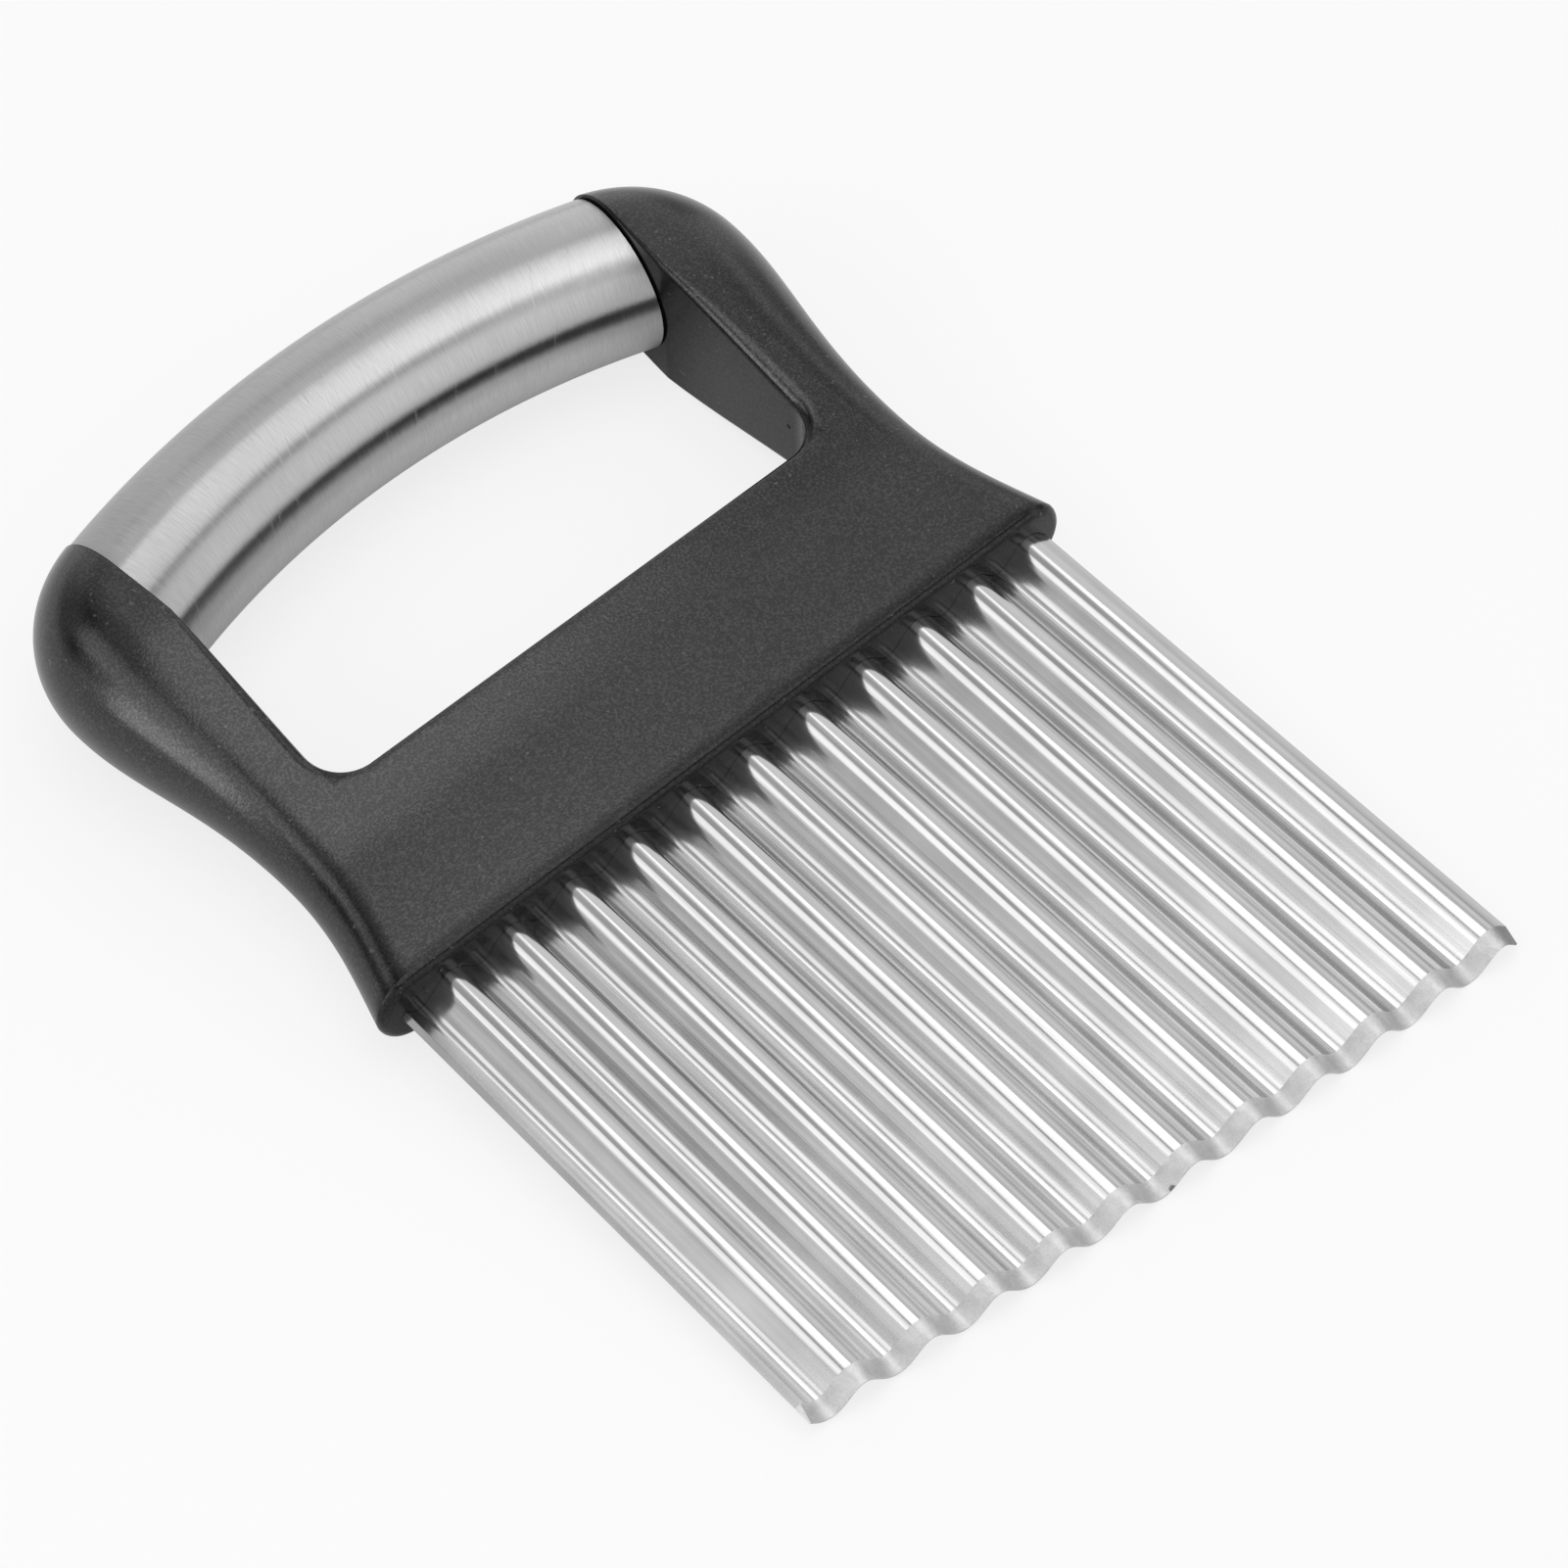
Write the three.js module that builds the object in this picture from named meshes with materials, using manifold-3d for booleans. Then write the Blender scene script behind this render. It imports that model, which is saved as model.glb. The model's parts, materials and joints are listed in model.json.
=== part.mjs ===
// Crinkle cutter: a corrugated blade moulded into a black yoke, with an arched steel tube as its grip.
// Drawn flat first: x across the blade, y from the yoke's lip towards the grip, z through the thickness.
// The finished group lies as the cutter lies on a table, on its shoulders and its cutting edge.
import * as THREE from 'three';
import { mergeVertices } from 'three/addons/utils/BufferGeometryUtils.js';
import Module from 'manifold-3d';

const wasm = await Module();
wasm.setup();

// Driving dimensions, in millimetres and degrees
const fitClearance = 0.3;          // between pieces that touch on the real cutter

const wavePitch = 9;               // crest to crest
const waveDepth = 3;               // trough to crest of the sheet's middle surface
const crestOffset = 2.1;           // from the blade's middle to the nearest crest
const sheetThickness = 0.9;
const bladeWidth = 99.6;
const bladeReach = 74.6;           // lip to cutting edge, on the middle line
const edgeSlant = 5.6;             // the edge runs lower on the +x side
const edgeBow = 0.45;              // its ends stand back this far from a straight line
const bevelWidth = 2.8;            // ground band along the edge
const edgeLand = 0.2;              // thickness left at the cutting edge
const tangDepth = 17;              // blade inside the yoke
const tangWidth = 86;              // it is cut narrower there, to stay inside the waist
const tangStep = 2.2;              // height of that step above the lip
const anchorSpacing = 27;          // between the posts that hold the tang
const anchorHeight = 9;            // posts above the lip
const anchorDiameter = 5;
const anchorCount = 3;

const lipHalfWidth = 52.8;
const lipHalfThickness = 5.5;
const lipRound = 1.2;
const lipFlare = 16;               // angle of the flank to the middle line at the lip
const waistHalfWidth = 48.6;
const waistHeight = 23;
const shoulderHalfWidth = 53.2;
const shoulderHeight = 59;
const shoulderHalfThickness = 11.4;
const crownPull = 8;               // how far the outline keeps its direction at the tube,
const shoulderPull = 8.5;          // above the widest point of the shoulder,
const armPull = 11;                // below it,
const waistPull = 17;              // above the waist,
const flarePull = 9;               // below it,
const lipPull = 6.5;               // and at the lip
const swellStart = 16;             // the faces are flat below this height
const swellEnd = 60;               // and at their full thickness above this one
const flankRoundness = 0.92;       // depth of the rounded flank over its half thickness

const openingHalfWidth = 37.9;
const openingFloor = 26.2;
const openingCorner = 5.5;
const openingRound = 0.9;          // soft edge of the finger opening at its floor
const seatFoot = 56;               // height from which the arms lean out to meet the tube
const seatLean = 6.5;              // angle of that lean

const tubeDiameter = 20.7;
const tubeWall = 0.8;
const archRadius = 121;            // of the tube's axis
const archHeight = 72.6;           // of the tube's axis on the middle line

const plugDepth = 9;               // plug inside the tube
const stubDiameter = 9;
const stubLength = 4;              // stub inside the arm

// Values that follow from the driving dimensions
const radians = THREE.MathUtils.degToRad;
const tubeRadius = tubeDiameter / 2;
const boreRadius = tubeRadius - tubeWall;
const archCentre = new THREE.Vector2(0, archHeight - archRadius);
const crownRadius = archRadius + tubeRadius;
const lean = radians(seatLean);
const seatNormal = new THREE.Vector2(Math.cos(lean), -Math.sin(lean));
const crownEnd = seatPoint(crownRadius);
const crownSlope = Math.asin(crownEnd.x / crownRadius);
const crownAlong = new THREE.Vector2(Math.cos(crownSlope), -Math.sin(crownSlope));
const axisEnd = seatPoint(archRadius);
const waveAngle = (2 * Math.PI) / wavePitch;
const waveOuterDepth = waveDepth + sheetThickness;

// Point at an angle from the top of the arch
function archPoint(radius, angle) {
  return new THREE.Vector2(Math.sin(angle), Math.cos(angle)).multiplyScalar(radius).add(archCentre);
}

// Point of an arm's leaning seat at a distance from the arch's centre
function seatPoint(radius) {
  const foot = new THREE.Vector2(openingHalfWidth, seatFoot).sub(archCentre);
  const along = new THREE.Vector2(Math.sin(lean), Math.cos(lean));
  const middle = foot.dot(along);
  const reach = Math.sqrt(middle ** 2 - foot.lengthSq() + radius ** 2) - middle;
  return foot.addScaledVector(along, reach).add(archCentre);
}

// Closed solids from grids of points

class Skin {
  corners = [];

  // A grid of points whose rows and columns share their neighbours; turned gives it the other side
  addGrid(rows, turned = false) {
    for (let i = 0; i + 1 < rows.length; i += 1) {
      for (let j = 0; j + 1 < rows[i].length; j += 1) {
        const quad = [rows[i][j], rows[i][j + 1], rows[i + 1][j + 1], rows[i + 1][j]];
        if (turned) quad.reverse();
        this.corners.push(quad[0], quad[1], quad[2], quad[0], quad[2], quad[3]);
      }
    }
  }

  // A flat, convex end face
  addCap(loop, turned = false) {
    for (let i = 1; i + 1 < loop.length; i += 1) {
      const triangle = [loop[0], loop[i], loop[i + 1]];
      if (turned) triangle.reverse();
      this.corners.push(...triangle);
    }
  }

  toSolid() {
    return toSolid(new THREE.BufferGeometry().setFromPoints(this.corners));
  }
}

function toSolid(geometry) {
  const plain = geometry.index ? geometry.toNonIndexed() : geometry.clone();
  plain.deleteAttribute('normal');
  plain.deleteAttribute('uv');
  const welded = mergeVertices(plain, 1e-4);
  const corners = welded.index.array;
  const triVerts = [];
  for (let i = 0; i < corners.length; i += 3) {
    const [a, b, c] = corners.slice(i, i + 3);
    if (a !== b && b !== c && c !== a) triVerts.push(a, b, c);
  }
  return new wasm.Manifold(new wasm.Mesh({
    numProp: 3,
    vertProperties: new Float32Array(welded.attributes.position.array),
    triVerts: new Uint32Array(triVerts),
  }));
}

function toMesh(name, solid, material) {
  const { vertProperties, triVerts } = solid.getMesh();
  const geometry = new THREE.BufferGeometry();
  geometry.setAttribute('position', new THREE.BufferAttribute(new Float32Array(vertProperties), 3));
  geometry.setIndex(new THREE.BufferAttribute(new Uint32Array(triVerts), 1));
  geometry.computeVertexNormals();
  const mesh = new THREE.Mesh(geometry, material);
  mesh.name = name;
  return mesh;
}

// Blade

function waveHeight(x) {
  return (waveDepth / 2) * Math.cos(waveAngle * (x - crestOffset));
}

function waveSlope(x) {
  return -(waveDepth / 2) * waveAngle * Math.sin(waveAngle * (x - crestOffset));
}

// A point of the corrugated sheet, at a distance from its middle surface
function wavePoint(x, offset, yAt) {
  const slope = waveSlope(x);
  const across = offset / Math.hypot(1, slope);
  const px = x - slope * across;
  return new THREE.Vector3(px, yAt(px), waveHeight(x) + across);
}

// Corrugated sheet lofted across its width; a section is a list of [offset, y as a function of x]
function corrugatedSheet(width, section) {
  const stepsPerWave = 12;
  const steps = Math.ceil((width / wavePitch) * stepsPerWave);
  const loops = [];
  for (let i = 0; i <= steps; i += 1) {
    const x = width * (i / steps - 0.5);
    loops.push(section.map(([offset, yAt]) => wavePoint(x, offset, yAt)));
  }
  const skin = new Skin();
  skin.addGrid(loops.map((loop) => [...loop, loop[0]]));
  skin.addCap(loops[0], true);
  skin.addCap(loops[steps]);
  return skin.toSolid();
}

function cuttingEdge(x) {
  const bow = edgeBow * ((2 * x) / bladeWidth) ** 2;
  return bow - bladeReach - x * Math.tan(radians(edgeSlant));
}

// A round bar along the y axis
function roundBar(diameter, length) {
  const sides = 24;
  return new THREE.CylinderGeometry(diameter / 2, diameter / 2, length, sides);
}

function anchorPosts(diameter, height) {
  const posts = [];
  for (let i = 0; i < anchorCount; i += 1) {
    const post = roundBar(diameter, height);
    post.rotateX(Math.PI / 2);
    post.translate((i - (anchorCount - 1) / 2) * anchorSpacing, anchorHeight, 0);
    posts.push(toSolid(post));
  }
  return posts.reduce((all, post) => all.add(post));
}

// What is cut away beside the tang, kept off it by a clearance
function tangCorners(clearance) {
  const corners = [1, -1].map((side) => {
    const corner = new THREE.BoxGeometry(bladeWidth, 2 * tangDepth, 2 * waveOuterDepth);
    const middle = new THREE.Vector2(tangWidth + bladeWidth, 2 * (tangStep + tangDepth)).divideScalar(2);
    corner.translate(side * (middle.x + clearance), middle.y + clearance, 0);
    return toSolid(corner);
  });
  return corners[0].add(corners[1]);
}

function makeBlade() {
  const back = -sheetThickness / 2;
  const front = sheetThickness / 2;
  const tangEnd = () => tangDepth;
  const sheet = corrugatedSheet(bladeWidth, [
    [back, cuttingEdge],
    [back, tangEnd],
    [front, tangEnd],
    [front, (x) => cuttingEdge(x) + bevelWidth],
    [back + edgeLand, cuttingEdge],
  ]);
  return sheet
    .subtract(tangCorners(0))
    .subtract(anchorPosts(anchorDiameter + 2 * fitClearance, 2 * waveOuterDepth));
}

// Yoke

// Outline of one side in three curves, from the tube down to the lip
const flankCurves = [
  new THREE.CubicBezierCurve(
    crownEnd,
    crownAlong.clone().multiplyScalar(crownPull).add(crownEnd),
    new THREE.Vector2(shoulderHalfWidth, shoulderHeight + shoulderPull),
    new THREE.Vector2(shoulderHalfWidth, shoulderHeight),
  ),
  new THREE.CubicBezierCurve(
    new THREE.Vector2(shoulderHalfWidth, shoulderHeight),
    new THREE.Vector2(shoulderHalfWidth, shoulderHeight - armPull),
    new THREE.Vector2(waistHalfWidth, waistHeight + waistPull),
    new THREE.Vector2(waistHalfWidth, waistHeight),
  ),
  new THREE.CubicBezierCurve(
    new THREE.Vector2(waistHalfWidth, waistHeight),
    new THREE.Vector2(waistHalfWidth, waistHeight - flarePull),
    new THREE.Vector2(lipHalfWidth - lipPull * Math.tan(radians(lipFlare)), lipRound + lipPull),
    new THREE.Vector2(lipHalfWidth, lipRound),
  ),
];

// The same outline as short chords, carried on over the crown of the tube, to measure distances from
function outlineChords() {
  const crownChords = 12;
  const chordsPerCurve = 60;
  const points = [];
  for (let i = 0; i < crownChords; i += 1) {
    points.push(archPoint(crownRadius, (crownSlope * i) / crownChords));
  }
  flankCurves.forEach((curve) => points.push(...curve.getPoints(chordsPerCurve)));
  return points;
}

const chords = outlineChords();

function distanceToFlank(x, y) {
  const point = new THREE.Vector3(Math.abs(x), y, 0);
  const nearest = new THREE.Vector3();
  let best = Infinity;
  for (let i = 0; i + 1 < chords.length; i += 1) {
    const from = new THREE.Vector3(chords[i].x, chords[i].y, 0);
    const to = new THREE.Vector3(chords[i + 1].x, chords[i + 1].y, 0);
    new THREE.Line3(from, to).closestPointToPoint(point, true, nearest);
    best = Math.min(best, nearest.distanceTo(point));
  }
  return best;
}

// Half thickness of the moulding: flat at the bar, swelling to the shoulders, round along the flanks
function halfThickness(x, y) {
  const swell = THREE.MathUtils.smoothstep(y, swellStart, swellEnd);
  const full = THREE.MathUtils.lerp(lipHalfThickness, shoulderHalfThickness, swell);
  const inside = Math.min(distanceToFlank(x, y) / (flankRoundness * full), 1);
  return full * Math.sqrt(1 - (1 - inside) ** 2);
}

// Stations of one half, from the tube down the arm, round the corner and along the bar to the middle line.
// Each runs from the wall of the opening to the flank or, along the bar, to the lip.
function halfStations() {
  const stations = [];
  const [shoulder, arm, flare] = flankCurves;
  const corner = new THREE.Vector2(openingHalfWidth - openingCorner, openingFloor + openingCorner);
  const add = (wall, inward, outer, round, onLip) => stations.push({ wall, inward, outer, round, onLip });

  const addWall = (curve, steps, from, to, inward) => {
    for (let i = 0; i < steps; i += 1) {
      const wall = from.clone().lerp(to, i / steps);
      const round = openingRound * THREE.MathUtils.smoothstep(crownEnd.y - wall.y, 0, crownEnd.y - corner.y);
      add(wall, inward, curve.getPoint(i / steps), round, false);
    }
  };
  const foot = new THREE.Vector2(openingHalfWidth, seatFoot);
  addWall(shoulder, 12, crownEnd, foot, seatNormal);
  addWall(arm, 10, foot, new THREE.Vector2(openingHalfWidth, corner.y), new THREE.Vector2(1, 0));

  const addCorner = (steps, fromAngle, toAngle, outerAt, onLip) => {
    for (let i = 0; i < steps; i += 1) {
      const angle = THREE.MathUtils.lerp(fromAngle, toAngle, i / steps);
      const inward = new THREE.Vector2(Math.cos(angle), -Math.sin(angle));
      const wall = inward.clone().multiplyScalar(openingCorner).add(corner);
      add(wall, inward, outerAt(i / steps), openingRound, onLip);
    }
  };
  const lipPoint = (x) => new THREE.Vector2(x, lipRound);
  const alongLip = (t) => lipPoint(THREE.MathUtils.lerp(lipHalfWidth, corner.x, t * t));
  addCorner(8, 0, Math.PI / 4, (t) => flare.getPoint(t), false);
  addCorner(10, Math.PI / 4, Math.PI / 2, alongLip, true);

  const barSteps = 3;
  for (let i = 0; i <= barSteps; i += 1) {
    const x = corner.x * (1 - i / barSteps);
    add(new THREE.Vector2(x, openingFloor), new THREE.Vector2(0, -1), lipPoint(x), openingRound, true);
  }
  return stations;
}

// Front points of a station: up the wall's soft edge, then across the face to the flank or the lip
function stationPoints({ wall, inward, outer, round, onLip }) {
  const edgeSteps = 2;
  const faceSteps = 9;
  const rim = wall.clone().addScaledVector(inward, round);
  const rimHeight = halfThickness(rim.x, rim.y);
  const points = [];
  for (let i = 0; i < edgeSteps; i += 1) {
    const turn = (Math.PI / 2) * (1 - i / edgeSteps);
    const at = wall.clone().addScaledVector(inward, round * (1 - Math.sin(turn)));
    points.push(new THREE.Vector3(at.x, at.y, Math.max(rimHeight - round * (1 - Math.cos(turn)), 0)));
  }
  for (let i = 0; i <= faceSteps; i += 1) {
    const at = rim.clone().lerp(outer, Math.sin((Math.PI / 2) * (i / faceSteps)));
    const onFlank = i === faceSteps && !onLip;
    points.push(new THREE.Vector3(at.x, at.y, onFlank ? 0 : halfThickness(at.x, at.y)));
  }
  return points;
}

const mirrorX = (point) => new THREE.Vector3(-point.x, point.y, point.z);
const mirrorZ = (point) => new THREE.Vector3(point.x, point.y, -point.z);

// Rings of the rounded lip, from a closed loop of points that lies level at the lip's upper end
function lipRings(loop) {
  const ringSteps = 3;
  const outward = loop.map((point, i) => {
    const before = loop[(i + loop.length - 1) % loop.length];
    const after = loop[(i + 1) % loop.length];
    return new THREE.Vector3(after.z - before.z, 0, before.x - after.x).normalize();
  });
  const rings = [];
  for (let k = 0; k <= ringSteps; k += 1) {
    const turn = (Math.PI / 2) * (k / ringSteps);
    const inset = lipRound * (Math.cos(turn) - 1);
    rings.push(loop.map((point, i) => {
      const moved = point.clone().addScaledVector(outward[i], inset);
      moved.y = lipRound * (1 - Math.sin(turn));
      return moved;
    }));
  }
  return rings;
}

function yokeShell() {
  const right = halfStations();
  const rows = right.map(stationPoints);
  const lipRow = right.map((station, i) => (station.onLip ? rows[i].at(-1) : null)).filter(Boolean);
  lipRow[0].z = 0;
  const left = rows.map((row) => row.map(mirrorX));
  const front = [...rows, ...left.slice(0, -1).reverse()];

  const skin = new Skin();
  skin.addGrid(front, true);
  skin.addGrid(front.map((row) => row.map(mirrorZ)));
  skin.addGrid(front.map((row) => [mirrorZ(row[0]), row[0]]), true);

  const frontLip = [...lipRow, ...lipRow.slice(0, -1).reverse().map(mirrorX)];
  const rings = lipRings([...frontLip, ...frontLip.slice(1, -1).reverse().map(mirrorZ)]);
  skin.addGrid(rings.map((ring) => [...ring, ring[0]]));
  const bottom = rings.at(-1);
  const pairs = [];
  for (let i = 0; i < frontLip.length; i += 1) {
    pairs.push([bottom[i], bottom[(bottom.length - i) % bottom.length]]);
  }
  skin.addGrid(pairs, true);
  return skin.toSolid();
}

function bladeSlot() {
  const half = sheetThickness / 2 + fitClearance;
  const below = () => -waveOuterDepth;
  const above = () => tangDepth + fitClearance;
  const wide = corrugatedSheet(bladeWidth + 2 * fitClearance, [
    [-half, below],
    [-half, above],
    [half, above],
    [half, below],
  ]);
  return wide.subtract(tangCorners(fitClearance));
}

// Places a shape, drawn round the x axis, on an arm's seat with its x axis square to the seat
function onSeat(shape, side) {
  shape.rotateZ(-lean * side);
  shape.translate(axisEnd.x * side, axisEnd.y, 0);
  return toSolid(shape);
}

// A round pin square to the seat, between two distances from it, positive into the arm
function seatPin(side, diameter, from, to) {
  const pin = roundBar(diameter, to - from);
  pin.rotateZ(Math.PI / 2);
  pin.translate((side * (from + to)) / 2, 0, 0);
  return onSeat(pin, side);
}

function makeYoke() {
  const socketDiameter = stubDiameter + 2 * fitClearance;
  const socketDepth = stubLength + fitClearance;
  return yokeShell()
    .subtract(bladeSlot())
    .add(anchorPosts(anchorDiameter, 2 * waveOuterDepth))
    .subtract(seatPin(1, socketDiameter, -stubLength, socketDepth))
    .subtract(seatPin(-1, socketDiameter, -stubLength, socketDepth));
}

// Grip tube and its plugs

class ArchCurve extends THREE.Curve {
  constructor(halfAngle) {
    super();
    this.halfAngle = halfAngle;
  }

  getPoint(t) {
    const { x, y } = archPoint(archRadius, this.halfAngle * (2 * t - 1));
    return new THREE.Vector3(x, y, 0);
  }
}

function archedBar(radius, bore) {
  const ring = new THREE.Shape().absarc(0, 0, radius, 0, 2 * Math.PI);
  if (bore > 0) ring.holes.push(new THREE.Path().absarc(0, 0, bore, 0, 2 * Math.PI, true));
  const extrudePath = new ArchCurve(Math.asin((axisEnd.x + tubeRadius / 2) / archRadius));
  return toSolid(new THREE.ExtrudeGeometry(ring, { steps: 20, curveSegments: 20, extrudePath }));
}

// A block between two planes parallel to the seat, at these distances from it, positive into the arm
function seatBlock(side, from, to) {
  const block = new THREE.BoxGeometry(to - from, 4 * tubeDiameter, 2 * tubeDiameter);
  block.translate((side * (from + to)) / 2, 0, 0);
  return onSeat(block, side);
}

function makeGripTube() {
  const span = 3 * openingHalfWidth;
  return archedBar(tubeRadius, boreRadius)
    .intersect(seatBlock(1, -span, -fitClearance))
    .intersect(seatBlock(-1, -span, -fitClearance));
}

function makePlug(side) {
  const body = archedBar(boreRadius - fitClearance, 0)
    .intersect(seatBlock(side, -fitClearance - plugDepth, -fitClearance));
  return body.add(seatPin(side, stubDiameter, -plugDepth / 2, stubLength));
}

// Materials

const blackPlastic = new THREE.MeshStandardMaterial({ color: 0x1c1c1c, roughness: 0.55, metalness: 0 });
const plugPlastic = new THREE.MeshStandardMaterial({ color: 0x202020, roughness: 0.6, metalness: 0 });
const polishedSteel = new THREE.MeshStandardMaterial({ color: 0xc9c9c9, roughness: 0.2, metalness: 1 });
const brushedSteel = new THREE.MeshStandardMaterial({ color: 0xb9b9b9, roughness: 0.32, metalness: 1 });

// Assembly

function assemble() {
  const flat = new THREE.Group();
  flat.add(
    toMesh('yoke', makeYoke(), blackPlastic),
    toMesh('blade', makeBlade(), polishedSteel),
    toMesh('grip_tube', makeGripTube(), brushedSteel),
    toMesh('end_plug_right', makePlug(1), plugPlastic),
    toMesh('end_plug_left', makePlug(-1), plugPlastic),
  );
  return flat;
}

// Angle at which the shoulders and the lowest corner of the cutting edge touch a table together
function lieAngle(flat) {
  const pointsOf = (name) => {
    const positions = flat.getObjectByName(name).geometry.attributes.position;
    const points = [];
    for (let i = 0; i < positions.count; i += 1) points.push([positions.getY(i), positions.getZ(i)]);
    return points;
  };
  const yoke = pointsOf('yoke');
  const steepest = ([edgeY, edgeZ]) => Math.max(
    ...yoke.map(([y, z]) => Math.atan2(edgeZ - z, y - edgeY)),
  );
  const edge = pointsOf('blade').filter(([y, z]) => y < -bladeReach / 2 && z < 0);
  return Math.min(...edge.map(steepest));
}

function layOnTable(flat) {
  flat.rotation.x = lieAngle(flat);
  flat.updateMatrixWorld(true);
  const box = new THREE.Box3().setFromObject(flat, true);
  const middle = box.getCenter(new THREE.Vector3());
  flat.position.set(-middle.x, -middle.y, -box.min.z);
  const part = new THREE.Group();
  part.add(flat);
  return part;
}

const crinkleCutter = layOnTable(assemble());

export default crinkleCutter;
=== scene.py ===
import json
import math

import bmesh
import bpy
import numpy as np
from mathutils import Matrix, Vector, geometry


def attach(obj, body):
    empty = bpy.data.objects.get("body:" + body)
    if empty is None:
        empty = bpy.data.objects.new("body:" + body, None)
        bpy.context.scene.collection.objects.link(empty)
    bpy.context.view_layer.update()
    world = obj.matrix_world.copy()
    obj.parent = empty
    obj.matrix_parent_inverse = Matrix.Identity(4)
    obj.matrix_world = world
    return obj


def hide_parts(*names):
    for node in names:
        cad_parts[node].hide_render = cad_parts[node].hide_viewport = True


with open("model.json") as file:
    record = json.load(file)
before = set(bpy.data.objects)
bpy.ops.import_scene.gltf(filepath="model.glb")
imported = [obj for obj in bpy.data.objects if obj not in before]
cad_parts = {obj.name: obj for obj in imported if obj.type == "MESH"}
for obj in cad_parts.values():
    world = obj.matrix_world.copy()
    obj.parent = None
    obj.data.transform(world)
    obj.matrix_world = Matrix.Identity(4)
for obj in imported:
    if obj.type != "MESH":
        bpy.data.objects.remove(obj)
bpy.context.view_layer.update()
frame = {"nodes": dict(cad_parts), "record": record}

# Blade: a stainless sheet pressed into ridges, polished, with a slanted edge ground on the front.
# Its tang is cut narrower at both sides and lies in the bar of the yoke, which is moulded round it.

mm = 0.001
wave_pitch, wave_depth, wave_fullness, crest_offset = 9.0, 3.0, 0.02, 2.1
sheet_thickness, blade_width, blade_reach = 0.9, 99.6, 74.6
edge_slant, edge_bow_left, edge_bow_right = math.radians(5.6), 0.45, 1.0
bevel_width, edge_land = 2.4, 0.2
# The last two values: where the painted shade on the bevel's right-hand corner starts and ends across
# the blade
edge_nick, nick_radius, shaded_corner_from, shaded_corner_to = (-1.0, -74.5, -1.3), 0.55, 46.8, 48.8
tang_depth, tang_width, tang_step = 17.0, 86.0, 2.2

# The cutter is drawn flat, in millimetres from the middle of the lip, and laid down as its solids lie
bar_front = next(m for m in frame["record"]["mounts"] if m["name"] == "bar_front")
bar_front_drawn = Vector((0, 8.0, 5.5))
tilt = math.atan2(-bar_front["axis"][1], bar_front["axis"][2])
turn = Matrix.Rotation(tilt, 3, "X")
rest = Vector(bar_front["pos_m"]) - turn @ (bar_front_drawn * mm)
lay = Matrix.Translation(rest) @ turn.to_4x4() @ Matrix.Scale(mm, 4)


class Wire:
    """A value in a node tree, so that a formula reads as it is written."""

    def __init__(self, tree, socket):
        self.tree, self.socket = tree, socket

    def op(self, operation, *others):
        """A math node on this wire and the other wires or numbers."""
        node = self.tree.nodes.new("ShaderNodeMath")
        node.operation = operation
        for slot, value in zip(node.inputs, (self, *others)):
            if isinstance(value, Wire):
                self.tree.links.new(value.socket, slot)
            else:
                slot.default_value = value
        return Wire(self.tree, node.outputs[0])

    def __add__(self, other):
        return self.op("ADD", other)

    def __sub__(self, other):
        return self.op("SUBTRACT", other)

    def __mul__(self, other):
        return self.op("MULTIPLY", other)

    def __truediv__(self, other):
        return self.op("DIVIDE", other)

    def rsub(self, value):
        """The value less this wire."""
        return self * -1.0 + value

    def clamp(self, low, high):
        """This wire, held between two values."""
        return self.op("MAXIMUM", low).op("MINIMUM", high)

    def ramp(self, start, end):
        """0 below start and 1 above end, smooth between them; end may be lower than start."""
        node = self.tree.nodes.new("ShaderNodeMapRange")
        node.interpolation_type = "SMOOTHSTEP"
        self.tree.links.new(self.socket, node.inputs[0])
        node.inputs[1].default_value, node.inputs[2].default_value = min(start, end), max(start, end)
        low, high = (0.0, 1.0) if start < end else (1.0, 0.0)
        node.inputs[3].default_value, node.inputs[4].default_value = low, high
        return Wire(self.tree, node.outputs[0])


def joined(tree, x, y, z):
    """Three wires or numbers as one vector socket."""
    node = tree.nodes.new("ShaderNodeCombineXYZ")
    for slot, value in zip(node.inputs, (x, y, z)):
        if isinstance(value, Wire):
            tree.links.new(value.socket, slot)
        else:
            slot.default_value = value
    return node.outputs[0]


def split(tree, socket):
    """The three parts of a vector socket as wires."""
    node = tree.nodes.new("ShaderNodeSeparateXYZ")
    tree.links.new(socket, node.inputs[0])
    return [Wire(tree, out) for out in node.outputs]


def size_tree(name, sizes):
    """A Geometry Nodes tree with one named input for each size; returns it with the inputs as wires."""
    tree = bpy.data.node_groups.new(name, "GeometryNodeTree")
    tree.interface.new_socket(name="Geometry", in_out="OUTPUT", socket_type="NodeSocketGeometry")
    for label in sizes:
        tree.interface.new_socket(name=label, in_out="INPUT", socket_type="NodeSocketFloat")
    given = tree.nodes.new("NodeGroupInput")
    return tree, {label: Wire(tree, given.outputs[label]) for label in sizes}


def bent_grid(tree, columns, rows, place):
    """A grid whose points are placed by their column and row numbers."""
    grid = tree.nodes.new("GeometryNodeMeshGrid")
    grid.inputs["Size X"].default_value, grid.inputs["Size Y"].default_value = columns - 1, rows - 1
    grid.inputs["Vertices X"].default_value, grid.inputs["Vertices Y"].default_value = columns, rows
    x, y, _ = split(tree, tree.nodes.new("GeometryNodeInputPosition").outputs[0])
    column = (x + (columns - 1) / 2).op("ROUND")
    row = (y + (rows - 1) / 2).op("ROUND")
    bend = tree.nodes.new("GeometryNodeSetPosition")
    tree.links.new(grid.outputs["Mesh"], bend.inputs["Geometry"])
    tree.links.new(joined(tree, *place(column, row)), bend.inputs["Position"])
    return bend.outputs[0]


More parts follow.
